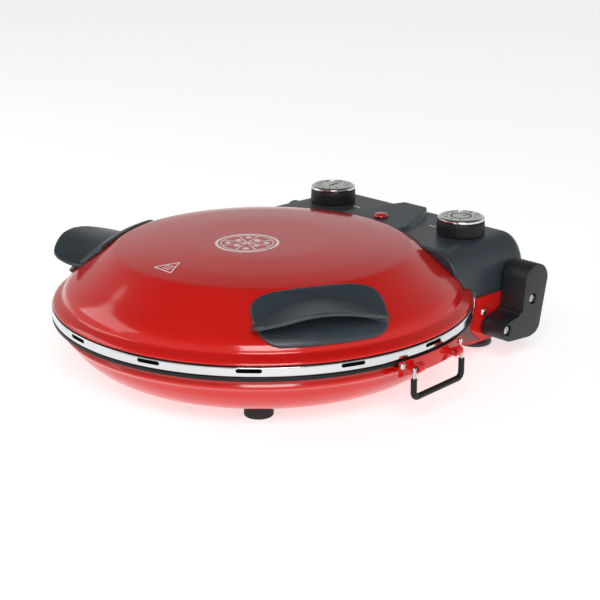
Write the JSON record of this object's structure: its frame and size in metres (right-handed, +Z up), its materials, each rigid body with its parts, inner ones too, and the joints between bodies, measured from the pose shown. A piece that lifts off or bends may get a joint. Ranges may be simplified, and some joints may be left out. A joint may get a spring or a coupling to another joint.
{
  "type": "countertop pizza oven",
  "caption": "Round clam-shell countertop pizza oven: enamelled dome lid on a rear hinge, control housing with two knobs, slotted chrome band, visor handles, carrying bails and a baking stone.",
  "frame": {"origin": "middle of the appliance's footprint on the counter", "axes": "+Z up, -Y towards the front, +Y towards the hinge and the control housing, +X the oven's side on the right for someone facing its front from -Y"},
  "size_m": [0.3864, 0.3918, 0.1193],
  "materials": {
    "red_enamel": "gloss",
    "slate_plastic": "satin",
    "black_plastic": "satin",
    "black_rubber": "matte",
    "chrome_trim": "polished",
    "plain_steel": "satin",
    "zinc_fixings": "satin",
    "element_steel": "matte",
    "baking_stone": "matte",
    "mineral_wool": "matte",
    "terminal_ceramic": "matte",
    "switch_body": "satin",
    "red_lens": "gloss",
    "lamp_glass": "gloss"
  },
  "bodies": {
    "base": {"arm_screw_lower_left": "zinc_fixings", "arm_screw_lower_right": "zinc_fixings", "arm_screw_upper_left": "zinc_fixings", "arm_screw_upper_right": "zinc_fixings", "bail_strip_left": "red_enamel", "bail_strip_right": "red_enamel", "base_insulation": "mineral_wool", "base_reflector": "plain_steel", "base_shell": "red_enamel", "bracket_rivet_left": "zinc_fixings", "bracket_rivet_right": "zinc_fixings", "front_foot_left": "black_rubber", "front_foot_right": "black_rubber", "hinge_arm_left": "slate_plastic", "hinge_arm_right": "slate_plastic", "hinge_bracket_left": "red_enamel", "hinge_bracket_right": "red_enamel", "hinge_collar_left": "black_plastic", "hinge_collar_right": "black_plastic", "hinge_pin_left": "plain_steel", "hinge_pin_right": "plain_steel", "lower_element": "element_steel", "lower_element_bracket": "plain_steel", "pizza_stone": "baking_stone", "rear_foot_left": "slate_plastic", "rear_foot_right": "slate_plastic", "rim_band": "chrome_trim", "rim_seal": "black_plastic", "strip_rivet_front_left": "zinc_fixings", "strip_rivet_front_right": "zinc_fixings", "strip_rivet_rear_left": "zinc_fixings", "strip_rivet_rear_right": "zinc_fixings"},
    "lid": {"lid_shell": "red_enamel", "lid_reflector": "plain_steel", "lid_insulation": "mineral_wool", "upper_element": "element_steel", "upper_element_bracket": "plain_steel", "housing_cover": "slate_plastic", "housing_floor": "slate_plastic", "timer_unit": "switch_body", "thermostat_unit": "switch_body", "lamp_lens": "red_lens", "neon_lamp": "lamp_glass", "terminal_block": "terminal_ceramic", "thermal_fuse": "plain_steel", "cord_inlet": "black_plastic", "handle_left": "slate_plastic", "handle_right": "slate_plastic"},
    "timer_knob": {"timer_knob": "black_plastic", "timer_knob_cap": "chrome_trim", "timer_shaft": "plain_steel"},
    "thermostat_knob": {"thermostat_knob": "black_plastic", "thermostat_knob_cap": "chrome_trim", "thermostat_shaft": "plain_steel"},
    "bail_right": {"bail_wire_right": "plain_steel", "bail_sleeve_right": "black_plastic"},
    "bail_left": {"bail_wire_left": "plain_steel", "bail_sleeve_left": "black_plastic"}
  },
  "joints": [
    {"name": "lid_hinge", "type": "hinge", "parent": "base", "child": "lid", "pos_m": [0, 0.1649, 0.072], "axis": [-1, 0, 0], "range_deg": [0, 95]},
    {"name": "timer_turn", "type": "hinge", "parent": "lid", "child": "timer_knob", "pos_m": [-0.08, 0.1482, 0.11], "axis": [0, 0, -1], "range_deg": [0, 300]},
    {"name": "thermostat_turn", "type": "hinge", "parent": "lid", "child": "thermostat_knob", "pos_m": [0.08, 0.1482, 0.11], "axis": [0, 0, -1], "range_deg": [0, 270]},
    {"name": "bail_right_swing", "type": "hinge", "parent": "base", "child": "bail_right", "pos_m": [0.18679, 0.00074, 0.0515], "axis": [0.0872, -0.9962, 0], "range_deg": [-5, 150]},
    {"name": "bail_left_swing", "type": "hinge", "parent": "base", "child": "bail_left", "pos_m": [-0.18679, 0.00074, 0.0515], "axis": [0.0872, 0.9962, 0], "range_deg": [-5, 150]}
  ]
}
